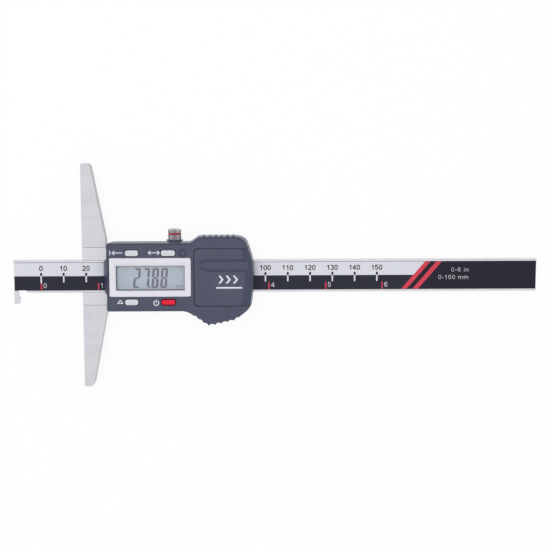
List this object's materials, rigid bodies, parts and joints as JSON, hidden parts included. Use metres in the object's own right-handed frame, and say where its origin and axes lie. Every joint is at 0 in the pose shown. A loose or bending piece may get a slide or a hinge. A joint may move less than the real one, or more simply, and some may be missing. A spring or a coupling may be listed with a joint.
{
  "type": "digital depth caliper",
  "caption": "Digital depth caliper: tapered steel base, sliding beam with a printed scale and a hooked end, display housing, lock screw and slide-off battery cover.",
  "frame": {"origin": "on the base's measuring face, at the beam's centreline and at the level of the flat back that the tool lies on", "axes": "+X along the beam away from the hook, +Y towards the lock screw, +Z out of the display"},
  "size_m": [0.2339, 0.1, 0.0135],
  "materials": {
    "steel": "fine ground, satin",
    "screw_steel": "bright",
    "knurled_steel": "fine straight knurl",
    "brass": "plain",
    "red_ring": "gloss",
    "board": "solder mask",
    "label": "printed film, white above and black below",
    "dark_plastic": "fine moulded texture",
    "clear_window": "clear, polished",
    "white_plastic": "smooth",
    "display_glass": "liquid crystal panel",
    "contact_rubber": "matte",
    "white_button": "smooth",
    "red_button": "smooth",
    "cell_metal": "plated can"
  },
  "bodies": {
    "slider": {"base": "steel", "slider_frame": "steel", "base_screws": "screw_steel", "gib_strip": "brass", "gib_screw": "screw_steel", "housing": "dark_plastic", "housing_screws": "screw_steel", "display_window": "clear_window", "display_mask": "white_plastic", "lcd_panel": "display_glass", "zebra_strips": "contact_rubber", "circuit_board": "board", "key_switches": "screw_steel", "port_plug": "dark_plastic", "cell": "cell_metal", "cell_contact_minus": "brass", "cell_contact_plus": "brass"},
    "rule": {"beam": "steel", "scale_board": "board", "scale_label": "label", "end_stop": "screw_steel", "end_stop_screws": "screw_steel"},
    "lock": {"lock_screw": "knurled_steel", "lock_screw_ring": "red_ring"},
    "cover": {"battery_cover": "dark_plastic"},
    "origin_key": {"origin_button": "white_button"},
    "mode_key": {"mode_button": "white_button"},
    "inc_key": {"inc_button": "white_button"},
    "power_key": {"power_button": "red_button"}
  },
  "joints": [
    {"name": "beam_slide", "type": "slide", "parent": "slider", "child": "rule", "axis": [1, 0, 0], "range_m": [-0.1249, 0.0283]},
    {"name": "lock_turn", "type": "hinge", "parent": "slider", "child": "lock", "pos_m": [0.0411, 0.0185, 0.00505], "axis": [0, 1, 0], "range_deg": [-60, 360]},
    {"name": "cover_slide", "type": "slide", "parent": "slider", "child": "cover", "axis": [1, 0, 0], "range_m": [0, 0.0268]},
    {"name": "origin_press", "type": "slide", "parent": "slider", "child": "origin_key", "axis": [0, 0, 1], "range_m": [-0.0004, 0], "stiffness_N_per_m": 2500, "springref_m": 0.0002},
    {"name": "mode_press", "type": "slide", "parent": "slider", "child": "mode_key", "axis": [0, 0, 1], "range_m": [-0.0004, 0], "stiffness_N_per_m": 2500, "springref_m": 0.0002},
    {"name": "inc_press", "type": "slide", "parent": "slider", "child": "inc_key", "axis": [0, 0, 1], "range_m": [-0.0004, 0], "stiffness_N_per_m": 2500, "springref_m": 0.0002},
    {"name": "power_press", "type": "slide", "parent": "slider", "child": "power_key", "axis": [0, 0, 1], "range_m": [-0.0004, 0], "stiffness_N_per_m": 2500, "springref_m": 0.0002}
  ]
}
